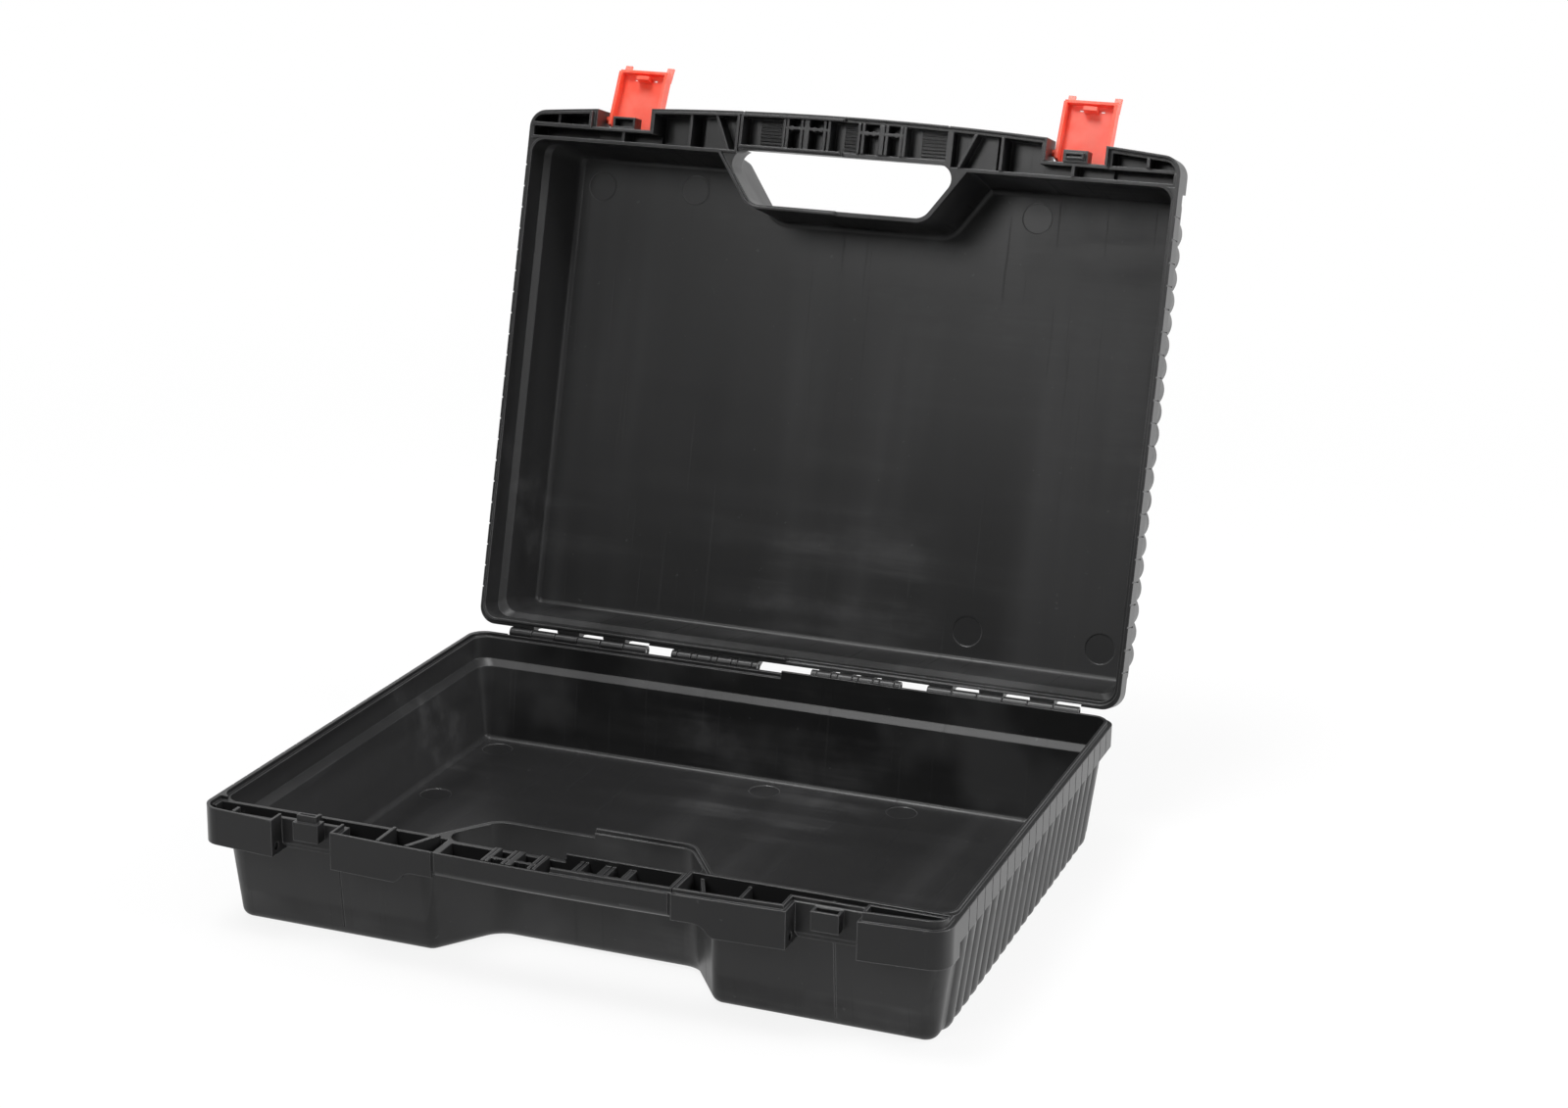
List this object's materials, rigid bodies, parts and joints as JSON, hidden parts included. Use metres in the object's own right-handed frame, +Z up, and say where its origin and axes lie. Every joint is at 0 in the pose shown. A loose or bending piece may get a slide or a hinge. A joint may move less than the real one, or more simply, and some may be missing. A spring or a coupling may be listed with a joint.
{
  "type": "carrying case",
  "caption": "Moulded plastic carrying case with a hinged lid standing open, a two-part hand grip in front and two swing latches.",
  "frame": {"origin": "on the flat underside of the base, below the middle of the rim's rectangle", "axes": "+X to the viewer's right along the hinge, +Y from the grip towards the hinge, +Z up"},
  "size_m": [0.38, 0.4324, 0.3769],
  "materials": {
    "case_plastic": "black, finely grained moulded plastic",
    "latch_plastic": "bright red moulded plastic with a soft sheen",
    "pin_steel": "plain drawn wire"
  },
  "bodies": {
    "base": {"base_shell": "case_plastic", "hinge_pin_outer_left": "pin_steel", "hinge_pin_inner_left": "pin_steel", "hinge_pin_inner_right": "pin_steel", "hinge_pin_outer_right": "pin_steel"},
    "lid": {"lid_shell": "case_plastic"},
    "latch_left": {"latch_left": "latch_plastic"},
    "latch_right": {"latch_right": "latch_plastic"}
  },
  "joints": [
    {"name": "lid_hinge", "type": "hinge", "parent": "base", "child": "lid", "pos_m": [0, 0.1513, 0.0635], "axis": [1, 0, 0], "range_deg": [0, 104.65]},
    {"name": "latch_left_pivot", "type": "hinge", "parent": "lid", "child": "latch_left", "pos_m": [-0.132, 0.24126, 0.34831], "axis": [1, 0, 0], "range_deg": [0, 105]},
    {"name": "latch_right_pivot", "type": "hinge", "parent": "lid", "child": "latch_right", "pos_m": [0.132, 0.24126, 0.34831], "axis": [1, 0, 0], "range_deg": [0, 105]}
  ]
}
